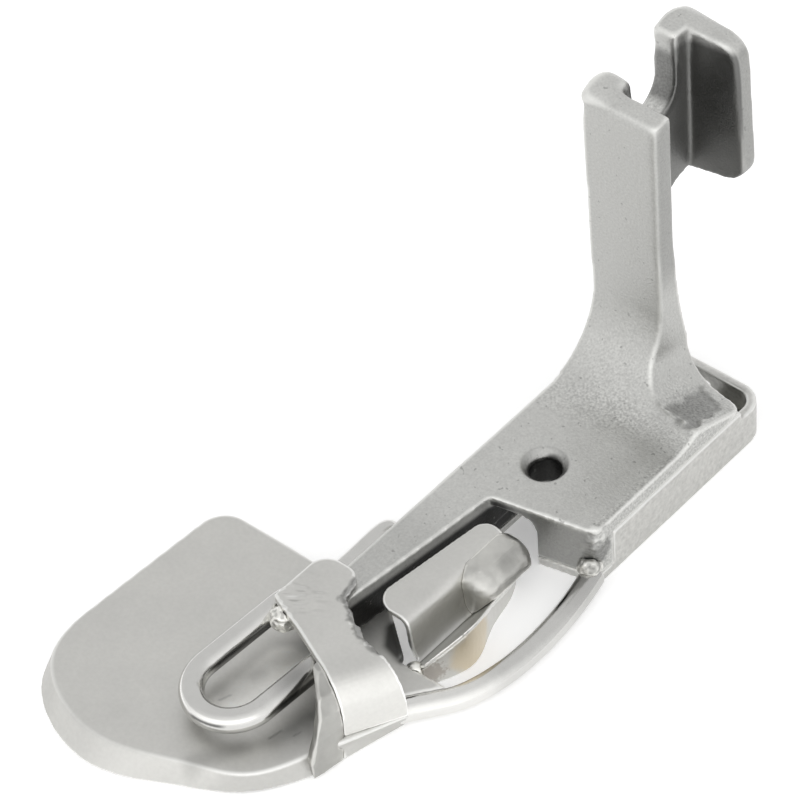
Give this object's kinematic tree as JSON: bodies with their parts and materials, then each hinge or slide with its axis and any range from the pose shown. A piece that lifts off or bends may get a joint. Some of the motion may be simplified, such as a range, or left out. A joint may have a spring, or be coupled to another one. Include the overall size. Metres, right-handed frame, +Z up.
{
  "type": "presser foot",
  "caption": "Hem-folding presser foot for a sewing machine: tall clamp shank, needle hole, rolled hem scroll, wire guides and a broad front plate.",
  "frame": {"origin": "where the presser bar's axis crosses the clamp screw's axis", "axes": "+X right, +Y back, +Z up along the presser bar; the sole is 25.4 mm below the origin"},
  "size_m": [0.0275, 0.0604, 0.0293],
  "materials": {
    "cast_steel": "satin nickel-grey cast steel with bright rubbed edges",
    "sheet_steel": "smooth satin sheet steel",
    "wire_steel": "polished round wire",
    "solder": "uneven soft solder"
  },
  "bodies": {
    "root": {"shank_casting": "cast_steel", "sole_tray": "sheet_steel", "front_plate": "sheet_steel", "bridge_strap": "sheet_steel", "hem_scroll": "sheet_steel", "scroll_skirt": "sheet_steel", "loop_wire": "wire_steel", "guard_wire": "wire_steel", "strap_solder": "solder", "loop_solder": "solder", "toe_solder": "solder", "scroll_solder": "solder", "scroll_weld": "solder", "guard_weld": "solder"}
  },
  "joints": []
}
